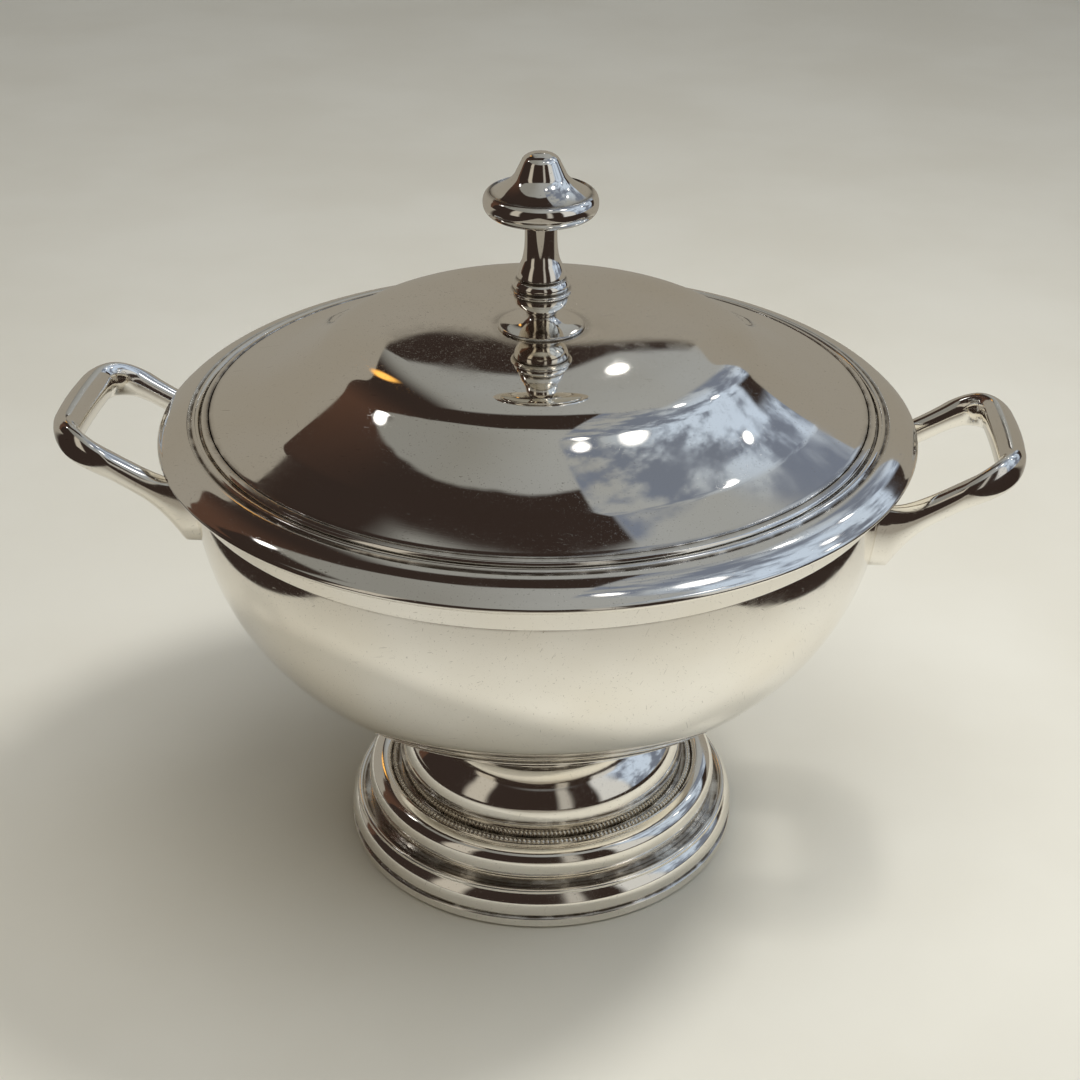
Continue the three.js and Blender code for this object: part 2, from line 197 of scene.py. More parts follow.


# ---- grime and painted shade in the creases -----------------------------------------------

# The creases, as (radius, height), and how far their dark spreads from them: tarnish that a
# polishing cloth doesn't reach, together with painted shade where the creases and joins lie in
# shadow.
CREASES = [
    (BASE_RADIUS - 0.7, BASE_RING_TOP),
    (BASE_RADIUS - 5.4, BAND_TOP),
    (TORUS_RADIUS, BAND_TOP),
    (TORUS_RADIUS - 8.4, STEP_TOP),
    (NECK_RADIUS + 3.4, STEP_TOP),
    (NECK_RADIUS + 1, STEP_TOP),
    (NECK_RADIUS - 0.6, STEP_TOP + 6.7),
    (42, NECK_TOP),
    (40.8, NECK_TOP + 4.2),
    (41, BOWL_BOTTOM),
    (BOWL_RADIUS, SKIRT_BOTTOM),
    (SEAT_RADIUS + 2.7, LID_SEAT + 0.6),
    (SEAT_RADIUS, LID_SEAT),
    (BEZEL_RADIUS + 0.3, LID_SEAT + 2.7),
    (14, LID_CROWN),
    (4.4, LID_CROWN + 4.2),
    (5.2, LID_CROWN + 5.8),
    (8.9, STEM_BOTTOM),
    (8.8, STEM_BOTTOM + 1.9),
    (7.5, STEM_BOTTOM + 5.2),
    (5.6, KNOB_BOTTOM),
    (16, KNOB_BOTTOM + 8.6),
]
GRIME_AND_SHADE_SPREAD = 0.7


def grime_and_shade_at(r, z):
    nearest = min(math.hypot(r - crease_r, z - crease_z) for crease_r, crease_z in CREASES)
    return math.exp(-((nearest / GRIME_AND_SHADE_SPREAD) ** 2))


# ---- meshes -------------------------------------------------------------------------------


def make_object(name, vertices, faces, normals=None, grime_and_shade=None):
    """A smooth-shaded mesh object. Vertices come in millimetres."""
    mesh = bpy.data.meshes.new(name)
    mesh.from_pydata((np.array(vertices) * MM).tolist(), [], faces)
    mesh.shade_smooth()
    # How dark each point is painted: grime and painted shade in the creases.
    layer = mesh.attributes.new("grime_and_shade", "FLOAT", "POINT")
    layer.data.foreach_set("value", grime_and_shade if grime_and_shade is not None else np.zeros(len(vertices)))
    if normals is not None:
        mesh.normals_split_custom_set_from_vertices(normals)
    piece = bpy.data.objects.new(name, mesh)
    bpy.context.scene.collection.objects.link(piece)
    return piece


def turned(name, points, segments, longest):
    """Turns a half section, drawn counter-clockwise in (radius, height), about the Z axis."""
    closed = points[0][0] > 0
    profile = ease_corners(points, closed)
    profile = split_long_legs(profile, closed, longest)
    normals_2d = outline_normals(profile, closed)
    angles = np.arange(segments) * 2 * math.pi / segments
    vertices, normals, grime_and_shade, rows = [], [], [], []
    for (r, z), (out, up) in zip(profile, normals_2d):
        around = angles if r > 1e-6 else angles[:1]
        first = len(vertices)
        vertices += [(r * math.cos(a), r * math.sin(a), z) for a in around]
        normals += [(out * math.cos(a), out * math.sin(a), up) for a in around]
        grime_and_shade += [grime_and_shade_at(r, z)] * len(around)
        rows.append([first + k % len(around) for k in range(segments + 1)])
    pairs = list(zip(rows, rows[1:] + rows[:1])) if closed else list(zip(rows, rows[1:]))
    faces = []
    for low, high in pairs:
        for k in range(segments):
            corners = [low[k], low[k + 1], high[k + 1], high[k]]
            faces.append(list(dict.fromkeys(corners)))
    return make_object(name, vertices, faces, normals, grime_and_shade)


# ---- foot ---------------------------------------------------------------------------------


def foot_base_ring():
    inner = BASE_RADIUS - 11
    return outline(
        (inner, 0),
        (BASE_RADIUS - 0.9, 0),
        (BASE_RADIUS, 1),
        (BASE_RADIUS, BASE_RING_TOP - 0.7),
        (BASE_RADIUS - 0.7, BASE_RING_TOP),
        (inner, BASE_RING_TOP),
    )


def foot_band():
    side = BASE_RADIUS - 0.9
    ridge = BASE_RADIUS - 3.8
    ledge = BASE_RADIUS - 11
    return outline(
        (side - FOOT_WALL, BASE_RING_TOP),
        (side, BASE_RING_TOP),
        bend(BASE_RADIUS + 1.2, 9.5, ridge + 1.3, BAND_TOP - 0.4, 18),
        bend(ridge + 1.4, BAND_TOP + 0.9, ridge + 0.4, BAND_TOP + 0.9, 5),
        bend(ridge - 0.5, BAND_TOP + 0.9, ridge - 0.6, BAND_TOP + 0.3, 5),
        (ridge - 1.6, BAND_TOP),
        (ledge, BAND_TOP),
        (ledge, BAND_TOP - FOOT_WALL),
        (ridge - 1.2, BAND_TOP - FOOT_WALL),
        bend(BASE_RADIUS - 1, 9, side - FOOT_WALL, BASE_RING_TOP, 12),
    )[:-1]


def foot_torus():
    ledge = NECK_RADIUS - 3.5
    crown = TORUS_RADIUS - 6.2
    wall = FOOT_WALL
    return outline(
        (TORUS_RADIUS - wall - 0.2, BAND_TOP),
        (TORUS_RADIUS - 0.2, BAND_TOP),
        (TORUS_RADIUS, BAND_TOP + 5.5),
        bend(TORUS_RADIUS, STEP_TOP + 2.2, crown, STEP_TOP + 2.4, 18),
        bend(crown - 2, STEP_TOP + 2.2, crown - 2.3, STEP_TOP, 10),
        (ledge, STEP_TOP),
        (ledge, STEP_TOP - wall),
        (crown - 1.6, STEP_TOP - wall),
        (crown - 0.6, STEP_TOP + 0.9),
        bend(TORUS_RADIUS - wall, STEP_TOP + 0.9, TORUS_RADIUS - wall, BAND_TOP + 5.5, 10),
    )


def foot_neck():
    band_top = STEP_TOP + 6.4
    wall_radius = NECK_RADIUS - 0.8
    ledge = 36
    inside = wall_radius - FOOT_WALL
    return outline(
        (inside, STEP_TOP),
        (NECK_RADIUS, STEP_TOP),
        (NECK_RADIUS, band_top),
        (wall_radius, band_top + 0.4),
        bend(wall_radius - 0.3, STEP_TOP + 13, wall_radius - 4.6, NECK_TOP - 5, 16),
        bend(wall_radius - 7.6, NECK_TOP - 1.4, wall_radius - 10.6, NECK_TOP, 10),
        (ledge, NECK_TOP),
        (ledge, NECK_TOP - FOOT_WALL),
        (wall_radius - 11, NECK_TOP - FOOT_WALL),
        bend(inside - 0.2, STEP_TOP + 15, inside, band_top, 12),
    )


def foot_collar():
    bead = 42.8
    waist = 40
    bore = 31
    return outline(
        (bore, NECK_TOP),
        (bead - 1.2, NECK_TOP),
        bend(bead + 0.9, NECK_TOP + 1.9, bead - 1, NECK_TOP + 3.8, 12),
        (waist + 0.6, NECK_TOP + 4.2),
        bend(waist - 0.6, NECK_TOP + 8, waist + 0.8, BOWL_BOTTOM - 0.6, 12),
        (waist + 0.8, BOWL_BOTTOM),
        (bore, BOWL_BOTTOM),
    )


MILL_NOTCHES = 212
MILL_DEPTH = 0.35


def milled_ring(name):
    """A half-round wire on the ledge at the neck's foot, with fine notches rolled across it."""
    middle = NECK_RADIUS + 2.2
    half = 1.1
    height = 1.7
    steps_per_notch = 6
    around = MILL_NOTCHES * steps_per_notch
    section = np.linspace(0, math.pi, 9)
    vertices, faces, grime_and_shade = [], [], []
    for k in range(around):
        angle = 2 * math.pi * k / around
        notch = (0.5 + 0.5 * math.cos(math.pi * 2 * k / steps_per_notch)) ** 2
        for turn in section:
            swell = 1 - (MILL_DEPTH / half) * notch * math.sin(turn)
            r = middle + half * swell * math.cos(turn)
            z = STEP_TOP + height * swell * math.sin(turn)
            vertices.append((r * math.cos(angle), r * math.sin(angle), z))
            # Darker in each notch: grime and painted shade in its hollow.
            grime_and_shade.append(notch * 0.8)
    count = len(section)
    for k in range(around):
        here = k * count
        there = (k + 1) % around * count
        for i in range(count):
            beside = (i + 1) % count
            faces.append([here + i, there + i, there + beside, here + beside])
    return make_object(name, vertices, faces, grime_and_shade=grime_and_shade)


# ---- bowl and rim -------------------------------------------------------------------------

# The bowl's section is a rounded curve between a circle and a square.
BOWL_CURVE = 2.35
BOWL_DEPTH = SKIRT_BOTTOM - BOWL_BOTTOM + 2.6


def bowl_radius_at(height, radius=BOWL_RADIUS, depth=BOWL_DEPTH):
    drop = np.maximum(SKIRT_BOTTOM - height, 0) / depth
    return radius * (1 - drop**BOWL_CURVE) ** (1 / BOWL_CURVE)


def bowl_face(radius, depth, floor, steps):
    """Points up one face of the bowl, closer together near the bottom."""
    turn = np.linspace(0, math.pi / 2, steps + 1)
    heights = SKIRT_BOTTOM - (SKIRT_BOTTOM - floor) * np.cos(turn)
    return list(np.column_stack([bowl_radius_at(heights, radius, depth), heights]))


def bowl_shell():
    outer = bowl_face(BOWL_RADIUS, BOWL_DEPTH, BOWL_BOTTOM, 70)
    floor = BOWL_BOTTOM + BOWL_WALL
    inner = bowl_face(BOWL_RADIUS - BOWL_WALL, BOWL_DEPTH - BOWL_WALL, floor, 50)
    return [
        np.array((0, BOWL_BOTTOM)),
        *outer,
        np.array((BOWL_RADIUS, BOWL_LIP)),
        np.array((BOWL_RADIUS - BOWL_WALL, BOWL_LIP)),
        *inner[::-1],
        np.array((0, floor)),
    ]


def rim_flange():
    skirt = BOWL_RADIUS + 2
    lip = SEAT_RADIUS + 1.2
    ledge = BEZEL_RADIUS + 0.4
    gap = 0.1
    under = LID_SEAT - 6.4
    inside = BOWL_RADIUS - BOWL_WALL - gap
    return outline(
        (BOWL_RADIUS + gap, SKIRT_BOTTOM),
        (skirt, SKIRT_BOTTOM),
        (skirt + 0.9, RIM_EDGE - 3),
        (RIM_RADIUS - 1.6, RIM_EDGE - 1.5),
        bend(RIM_RADIUS + 1.2, RIM_EDGE, RIM_RADIUS - 0.9, RIM_EDGE + 1.5, 16),
        bend(RIM_RADIUS - 4.4, LID_SEAT, lip + 2.6, LID_SEAT + 0.9, 20),
        (lip + 1.4, LID_SEAT + 0.5),
        bend(lip + 0.9, LID_SEAT + 1.7, lip, LID_SEAT + 1.7, 6),
        (SEAT_RADIUS + 0.2, LID_SEAT + 1.3),
        (SEAT_RADIUS, LID_SEAT),
        (ledge, LID_SEAT),
        (ledge, under),
        (inside, under),
        (inside, BOWL_LIP + gap),
        (BOWL_RADIUS + gap, BOWL_LIP + gap),
    )


# ---- handles ------------------------------------------------------------------------------

# The section spans from an inner to an outer plan-view loop.
HANDLE_SWELL = 0.5
HANDLE_REACH = radius_of("handle_right") - HANDLE_SWELL
HANDLE_OUTER = {"reach": HANDLE_REACH, "half_spread": 33, "corner": 22}
HANDLE_INNER = {"reach": HANDLE_REACH - 10.4, "half_spread": 25, "corner": 6}
HANDLE_ROOT_HEIGHT = 144
HANDLE_BOW_HEIGHT = top_of("handle_right") - 6.3
HANDLE_ARM_DEPTH = 10
HANDLE_BOW_DEPTH = 12.6
HANDLE_ARM_TILT = -0.3
HANDLE_TANG_DROP = 12
HANDLE_SQUARENESS = 2.08
HANDLE_SUNK = 0.3
ARM_STEPS = 26
CORNER_STEPS = 14
BOW_STEPS = 9


def smooth(x, low, high):
    share = np.clip((x - low) / (high - low), 0, 1)
    return share * share * (3 - 2 * share)


def handle_loop(reach, half_spread, corner, arm_points):
    """Half of a plan-view loop, from the root to the middle of the bow."""
    root = BOWL_RADIUS - 8
    arm_x = np.linspace(root, reach - corner, arm_points + 1)[:-1]
    arm = np.column_stack([arm_x, np.full(arm_points, -half_spread)])
    angle = (np.linspace(0, 1, CORNER_STEPS + 1) - 1) * math.pi / 2
    turn = np.column_stack([
        reach + corner * (np.cos(angle) - 1),
        -half_spread + corner * (np.sin(angle) + 1),
    ])
    flat = half_spread - corner
    bow_y = np.linspace(-flat, 0, BOW_STEPS + 1)[1:]
    bow_x = reach + HANDLE_SWELL * (1 - (bow_y / flat) ** 2)
    return np.vstack([arm, turn, np.column_stack([bow_x, bow_y])])


def handle_heights(x):
    """Top, bottom and tilt of the section at one distance from the bowl's axis."""
    outward = smooth(x, HANDLE_REACH - 24, HANDLE_REACH - 8)
    climb = smooth(x, BOWL_RADIUS, HANDLE_REACH - 6)
    tang = (1 - np.clip((x - BOWL_RADIUS) / 15, 0, 1)) ** 2.2
    depth = HANDLE_ARM_DEPTH + (HANDLE_BOW_DEPTH - HANDLE_ARM_DEPTH) * outward
    middle = HANDLE_ROOT_HEIGHT + (HANDLE_BOW_HEIGHT - HANDLE_ROOT_HEIGHT) * climb
    top = middle + depth / 2
    bottom = middle - depth / 2 - HANDLE_TANG_DROP * tang
    return top, bottom, HANDLE_ARM_TILT * (1 - outward) * (1 - tang)


def handle_rings(around):
    """The rings of half a handle, from inside the bowl's wall to the middle of the bow."""
    fine = ARM_STEPS * 8
    outer = handle_loop(**HANDLE_OUTER, arm_points=fine)
    inner = handle_loop(**HANDLE_INNER, arm_points=fine)
    middle = (outer + inner) / 2
    half_width = outer - middle
    turn = np.arange(around) * 2 * math.pi / around
    power = 2 / HANDLE_SQUARENESS
    side = np.sign(np.cos(turn)) * np.abs(np.cos(turn)) ** power
    rise = np.sign(np.sin(turn)) * np.abs(np.sin(turn)) ** power
    top, bottom, tilt = handle_heights(middle[:, 0])
    width = np.linalg.norm(half_width, axis=1)
    rings = np.empty((len(outer), around, 3))
    rings[:, :, :2] = middle[:, None] + half_width[:, None] * side[None, :, None]
    rings[:, :, 2] = ((top + bottom) / 2)[:, None] + np.outer((top - bottom) / 2, rise)
    rings[:, :, 2] += np.outer(tilt * width, side)
    return trim_to_bowl(rings, fine)


def trim_to_bowl(rings, fine):
    """Starts each line along the arm where it leaves the bowl's wall."""
    arm = np.empty((ARM_STEPS, rings.shape[1], 3))
    for k in range(rings.shape[1]):
        line = rings[: fine + 1, k]
        sunk = np.hypot(line[:, 0], line[:, 1]) - bowl_radius_at(line[:, 2]) + HANDLE_SUNK
        start = np.flatnonzero(sunk < 0)[-1]
        start += sunk[start] / (sunk[start] - sunk[start + 1])
        places = np.linspace(start, fine, ARM_STEPS + 1)[:-1]
        for axis in range(3):
            arm[:, k, axis] = np.interp(places, np.arange(fine + 1), line[:, axis])
    return np.concatenate([arm, rings[fine:]])


def handle(name, side):
    """A closed tube round the loop. Side is 1 for the right handle and -1 for the left."""
    around = 40
    half = handle_rings(around)
    mirrored = half[-2::-1] * (1, -1, 1)
    rings = np.concatenate([half, mirrored]) * (side, side, 1)
    count = len(rings)
    ends = [rings[0].mean(axis=0), rings[-1].mean(axis=0)]
    vertices = [*rings.reshape(-1, 3), *ends]
    faces = []
    for ring in range(count - 1):
        for k in range(around):
            beside = (k + 1) % around
            low, high = ring * around, (ring + 1) * around
            faces.append([low + k, high + k, high + beside, low + beside])
    first_centre, last_centre = count * around, count * around + 1
    last = (count - 1) * around
    for k in range(around):
        beside = (k + 1) % around
        faces.append([first_centre, k, beside])
        faces.append([last_centre, last + beside, last + k])
    return make_object(name, vertices, faces)


# ---- lid ----------------------------------------------------------------------------------


def lid_face(bore, sink):
    """One face of the lid, from the stud hole out to the edge."""
    def down(drop):
        return LID_CROWN - sink - drop

    shoulder = CAP_RADIUS - sink * 0.4
    return outline(
        (bore, down(0)),
        (15, down(0)),
        bend(shoulder - 29, down(0), shoulder - 15, down(0.55), 20),
        bend(shoulder - 0.3, down(1.1), shoulder + 6.3, down(7), 44),
        bend(shoulder + 14.5, down(14.3), shoulder + 28, down(20.3), 26),
        bend(shoulder + 35, down(22.8), BEZEL_RADIUS - 0.6, LID_SEAT + 2.9 - sink, 14),
    )


LID_EDGE_UNDER = LID_SEAT + 1.3


def lid_shell():
    edge = outline(
        (BEZEL_RADIUS - 5, LID_EDGE_UNDER),
        (BEZEL_RADIUS + 0.1, LID_EDGE_UNDER),
        (BEZEL_RADIUS + 0.1, LID_SEAT + 2.5),
    )
    return [*lid_face(STUD_BORE, LID_WALL)[:-1], *edge, *lid_face(STUD_BORE, 0)[::-1]]


def lid_edge_wire():
    inner = BEZEL_RADIUS + 0.3
    return outline(
        (inner, LID_SEAT),
        (LID_RADIUS - 0.5, LID_SEAT),
        bend(LID_RADIUS + 0.3, LID_SEAT + 1.2, LID_RADIUS - 0.6, LID_SEAT + 2.3, 12),
        (inner + 0.4, LID_SEAT + 2.7),
        (inner, LID_SEAT + 2.3),
    )


def lid_bezel():
    low = bottom_of("lid_bezel")
    return outline(
        (BEZEL_RADIUS - 1.3, low),
        (BEZEL_RADIUS - 0.4, low),
        (BEZEL_RADIUS, low + 1),
        (BEZEL_RADIUS, LID_EDGE_UNDER),
        (BEZEL_RADIUS - 1.3, LID_EDGE_UNDER),
    )


# ---- finial -------------------------------------------------------------------------------


def finial_foot():
    disc = 14.2
    return outline(
        (STUD_BORE, LID_CROWN),
        (disc - 0.2, LID_CROWN),
        (disc, LID_CROWN + 0.5),
        (disc - 0.6, LID_CROWN + 0.9),
        bend(6.4, LID_CROWN + 1.1, 4.4, LID_CROWN + 4, 16),
        (5.4, LID_CROWN + 5.2),
        (5.2, LID_CROWN + 5.7),
        bend(9.2, LID_CROWN + 7.2, 8.9, STEM_BOTTOM, 14),
        (STUD_BORE, STEM_BOTTOM),
    )


def finial_stem():
    return outline(
        (STUD_BORE, STEM_BOTTOM),
        (9, STEM_BOTTOM),
        (10.2, STEM_BOTTOM + 1),
        (10.1, STEM_BOTTOM + 1.6),
        (8.9, STEM_BOTTOM + 1.9),
        bend(9.7, STEM_BOTTOM + 3.4, 8.3, STEM_BOTTOM + 4.9, 12),
        (7.5, STEM_BOTTOM + 5.2),
        (7.9, STEM_BOTTOM + 5.8),
        bend(7.5, STEM_BOTTOM + 8.4, 6.2, STEM_BOTTOM + 10.8, 14),
        bend(4.9, STEM_BOTTOM + 14.5, 5.2, KNOB_BOTTOM - 1.4, 14),
        (5.6, KNOB_BOTTOM),
        (STUD_BORE, KNOB_BOTTOM),
    )


def finial_knob():
    bead = KNOB_BOTTOM + 5
    return outline(
        (0, STUD_TOP + 0.5),
        (STUD_BORE, STUD_TOP + 0.5),
        (STUD_BORE, KNOB_BOTTOM),
        (6.4, KNOB_BOTTOM),
        bend(9, KNOB_BOTTOM + 1.4, 15, KNOB_BOTTOM + 1.3, 10),
        bend(18, bead - 2.8, KNOB_RADIUS, bead, 14),
        bend(18.4, bead + 3, 16.2, bead + 4, 14),
        (16, bead + 3.6),
        bend(10.6, bead + 5.8, 8.3, bead + 9, 14),
        bend(6.8, bead + 12, 6.1, bead + 13.4, 10),
        bend(5, OVERALL_HEIGHT, 0, OVERALL_HEIGHT, 14),
    )


def finial_washer():
    return outline(
        (STUD_BORE, WASHER_BOTTOM),
        (WASHER_RADIUS, WASHER_BOTTOM),
        (WASHER_RADIUS, WASHER_TOP),
        (STUD_BORE, WASHER_TOP),
    )


THREAD_PITCH = 0.8
THREAD_DEPTH = 0.4
STUD_TIP = 0.5


def finial_stud(name):
    """The stud, with a helical thread all the way up and a cone at each end."""
    around = 40
    steps_per_pitch = 8
    rows = math.ceil((STUD_TOP - STUD_BOTTOM) / THREAD_PITCH * steps_per_pitch)
    vertices, faces = [], []
    for row in range(rows + 1):
        z = STUD_BOTTOM + (STUD_TOP - STUD_BOTTOM) * row / rows
        from_end = min(z - STUD_BOTTOM, STUD_TOP - z, STUD_TIP)
        for k in range(around):
            phase = ((z / THREAD_PITCH - k / around) % 1) * 2 - 1
            r = STUD_RADIUS - THREAD_DEPTH * abs(phase) - (STUD_TIP - from_end)
            angle = 2 * math.pi * k / around
            vertices.append((r * math.cos(angle), r * math.sin(angle), z))
    for row in range(rows):
        for k in range(around):
            beside = (k + 1) % around
            low, high = row * around, (row + 1) * around
            faces.append([low + k, low + beside, high + beside, high + k])
    faces.append(list(range(around))[::-1])
    faces.append([rows * around + k for k in range(around)])
    return make_object(name, vertices, faces)


def finial_nut(name):
    """A hexagon nut whose corners are chamfered by a cone at each end."""
    sides = 6
    per_side = 8
    around = sides * per_side
    apothem = NUT_ACROSS_CORNERS / 2 * math.cos(math.pi / sides)
    bore = STUD_BORE
    chamfer = NUT_ACROSS_CORNERS / 2 - apothem
    top = WASHER_BOTTOM
    chamfer_slope = 1.4
    rises = chamfer * np.linspace(0, 1, 6)
    levels = [*(NUT_BOTTOM + rises), *(top - rises[::-1])]
    vertices, faces = [], []

    def add_row(radius_at, z):
        for k in range(around):
            angle = 2 * math.pi * k / around
            r = radius_at(angle)
            vertices.append((r * math.cos(angle), r * math.sin(angle), z))

    def hexagon(angle):
        from_flat = (angle % (2 * math.pi / sides)) - math.pi / sides
        return apothem / math.cos(from_flat)

    add_row(lambda angle: bore, NUT_BOTTOM)
    for z in levels:
        allowed = apothem + min(z - NUT_BOTTOM, top - z) * chamfer_slope
        add_row(lambda angle, allowed=allowed: min(hexagon(angle), allowed), z)
    add_row(lambda angle: bore, top)
    rows = len(levels) + 2
    for row in range(rows):
        for k in range(around):
            beside = (k + 1) % around
            low, high = row * around, (row + 1) % rows * around
            faces.append([low + k, low + beside, high + beside, high + k])
    nut = make_object(name, vertices, faces)
    nut.data.set_sharp_from_angle(angle=math.radians(25))
    return nut


# ---- materials ----------------------------------------------------------------------------


class Shader:
    """A node tree being filled. Inputs are given as {socket name or number: value or socket}."""

    def __init__(self, tree):
        self.tree = tree
        tree.nodes.clear()

    def add(self, kind, inputs=None, **settings):
        node = self.tree.nodes.new(kind)
        for key, value in settings.items():
            setattr(node, key, value)
        for key, value in (inputs or {}).items():
            if isinstance(value, bpy.types.NodeSocket):
                self.tree.links.new(value, node.inputs[key])
            else:
                node.inputs[key].default_value = value
        return node

    def math(self, operation, *values, clamp=False):
        inputs = dict(enumerate(values))
        node = self.add("ShaderNodeMath", inputs, operation=operation, use_clamp=clamp)
        return node.outputs[0]

    def vector(self, operation, first, second):
        node = self.add("ShaderNodeVectorMath", {0: first, 1: second}, operation=operation)
        return node.outputs[0]

    def between(self, value, low, high, to_low=0.0, to_high=1.0):
        """Maps low..high smoothly to to_low..to_high."""
        inputs = {
            "Value": value,
            "From Min": low,
            "From Max": high,
            "To Min": to_low,
            "To Max": to_high,
        }
        kind = "ShaderNodeMapRange"
        return self.add(kind, inputs, interpolation_type="SMOOTHSTEP").outputs[0]

    def mix(self, share, first, second):
        """Mixes two colours."""
        node = self.add("ShaderNodeMix", data_type="RGBA")
        for socket, value in zip((0, 6, 7), (share, first, second)):
            if isinstance(value, bpy.types.NodeSocket):
                self.tree.links.new(value, node.inputs[socket])
            else:
                node.inputs[socket].default_value = value
        return node.outputs[2]

    def noise(self, place, scale, detail=2.0, roughness=0.5):
        inputs = {"Vector": place, "Scale": scale, "Detail": detail, "Roughness": roughness}
        return self.add("ShaderNodeTexNoise", inputs).outputs[0]


def colour(r, g, b):
    return (r, g, b, 1.0)


def place_in_mm(shader):
    place = shader.add("ShaderNodeTexCoord").outputs["Object"]
    return shader.vector("MULTIPLY", place, (1 / MM, 1 / MM, 1 / MM))


def scratches(shader, place, turn, length, spacing, rarity):
    """Thin straight marks that run one way. Length and spacing are in millimetres."""
    inputs = {"Vector": place, "Rotation": turn}
    turned_place = shader.add("ShaderNodeMapping", inputs).outputs[0]
    stretch = (1 / length, 1 / spacing, 1 / spacing)
    stretched = shader.vector("MULTIPLY", turned_place, stretch)
    grain = shader.noise(stretched, 1.0, detail=1.0)
    return shader.between(grain, rarity, rarity + 0.05)


def spin_lines(shader, place, spacing):
    """Fine rings left by spinning and polishing, as a height from 0 to 1."""
    x, y, z = shader.add("ShaderNodeSeparateXYZ", {0: place}).outputs
    flat_place = shader.vector("MULTIPLY", place, (1, 1, 0))
    radius = shader.add("ShaderNodeVectorMath", {0: flat_place}, operation="LENGTH").outputs["Value"]
    inputs = {
        0: shader.math("DIVIDE", radius, spacing),
        1: shader.math("ARCTAN2", y, x),
        2: shader.math("DIVIDE", z, spacing),
    }
    rings = shader.add("ShaderNodeCombineXYZ", inputs).outputs[0]
    return shader.noise(rings, 1.0, detail=3.0, roughness=0.6)


SCRATCH_RUNS = [
    {"turn": (0.3, 0.2, 0.5), "length": 30, "spacing": 0.5, "rarity": 0.725},
    {"turn": (0.9, -0.4, 1.7), "length": 20, "spacing": 0.45, "rarity": 0.73},
    {"turn": (-0.5, 1.1, 2.6), "length": 45, "spacing": 0.45, "rarity": 0.73},
    {"turn": (1.3, 0.6, -0.8), "length": 14, "spacing": 0.45, "rarity": 0.73},
]


def wear_marks(shader, place):
    """Long rare scratches that run four ways, as a mask."""
    marks = 0.0
    for run in SCRATCH_RUNS:
        marks = shader.math("MAXIMUM", marks, scratches(shader, place, **run))
    return marks


def crease_grime_and_shade(shader, place):
    """The grime and painted shade of the creases, broken into blotches, as a mask."""
    grime_and_shade = shader.add("ShaderNodeAttribute", attribute_name="grime_and_shade").outputs["Fac"]
    blotches = shader.noise(place, 1 / BLOTCH_SIZE, detail=3.0)
    strength = shader.between(blotches, 0.3, 0.6, 0.35, 1.0)
    return shader.math("MULTIPLY", grime_and_shade, strength, clamp=True)


def metal(shader, base, rough, height):
    """Finishes a material as bare metal. Height is a socket in metres."""
    bump = shader.add("ShaderNodeBump", {"Strength": 1.0, "Distance": 1.0, "Height": height})
    surface = shader.add("ShaderNodeBsdfPrincipled", {
        "Base Color": base,
        "Metallic": 1.0,
        "Roughness": rough,
        "Normal": bump.outputs[0],
    })
    shader.add("ShaderNodeOutputMaterial", {"Surface": surface.outputs[0]})


# The sizes of the marks on the plate, in millimetres.
SMUDGE_SIZE = 18
TARNISH_SIZE = 55
BLOTCH_SIZE = 6
WAVE_SIZE = 34
SPIN_SPACING = 0.45

SCRATCHED = colour(0.42, 0.38, 0.32)
# The colour of the creases: tarnish and painted shade.
GRIME_AND_SHADE = colour(0.16, 0.125, 0.09)


def silver_plate(name, polish, haze, ring_depth, scratch_depth, wave_depth, tint=(1, 1, 1)):
    """Polished silver plate. Polish and haze are the least and most roughness, depths in mm."""
    material = bpy.data.materials.new(name)
    material.use_nodes = True
    shader = Shader(material.node_tree)
    place = place_in_mm(shader)
    marks = wear_marks(shader, place)
    dirt_and_shade = crease_grime_and_shade(shader, place)

    clean = colour(0.955 * tint[0], 0.93 * tint[1], 0.885 * tint[2])
    toned = colour(0.90 * tint[0], 0.85 * tint[1], 0.755 * tint[2])
    tarnish = shader.noise(place, 1 / TARNISH_SIZE, detail=2.0)
    base = shader.mix(shader.between(tarnish, 0.35, 0.7, 0.0, 0.6), clean, toned)
    base = shader.mix(shader.math("MULTIPLY", marks, 0.5), base, SCRATCHED)
    # Darkens the creases: tarnish and painted shade.
    base = shader.mix(dirt_and_shade, base, GRIME_AND_SHADE)

    smudge = shader.noise(place, 1 / SMUDGE_SIZE, detail=5.0, roughness=0.65)
    smudged = shader.between(smudge, 0.42, 0.68)
    rough = shader.between(smudged, 0.0, 1.0, polish, haze)
    rough = shader.math("ADD", rough, shader.math("MULTIPLY", marks, 0.12))
    rough = shader.math("ADD", rough, shader.math("MULTIPLY", dirt_and_shade, 0.35), clamp=True)

    waves = shader.noise(place, 1 / WAVE_SIZE, detail=1.0)
    waves = shader.math("MULTIPLY", waves, wave_depth * MM)
    rings = shader.math("MULTIPLY", spin_lines(shader, place, SPIN_SPACING), ring_depth * MM)
    cuts = shader.math("MULTIPLY", marks, -scratch_depth * MM)
    height = shader.math("ADD", shader.math("ADD", waves, rings), cuts)
    metal(shader, base, rough, height)
    return material


def brass(name):
    """Dull machined brass, a little browned."""
    material = bpy.data.materials.new(name)
    material.use_nodes = True
    shader = Shader(material.node_tree)
    place = place_in_mm(shader)
    browned = shader.between(shader.noise(place, 1 / 3, detail=4.0), 0.4, 0.7)
    base = shader.mix(browned, colour(0.74, 0.55, 0.27), colour(0.42, 0.29, 0.14))
    rough = shader.between(browned, 0.0, 1.0, 0.22, 0.48)
    turning_marks = spin_lines(shader, place, 0.15)
    metal(shader, base, rough, shader.math("MULTIPLY", turning_marks, 0.01 * MM))
    return material


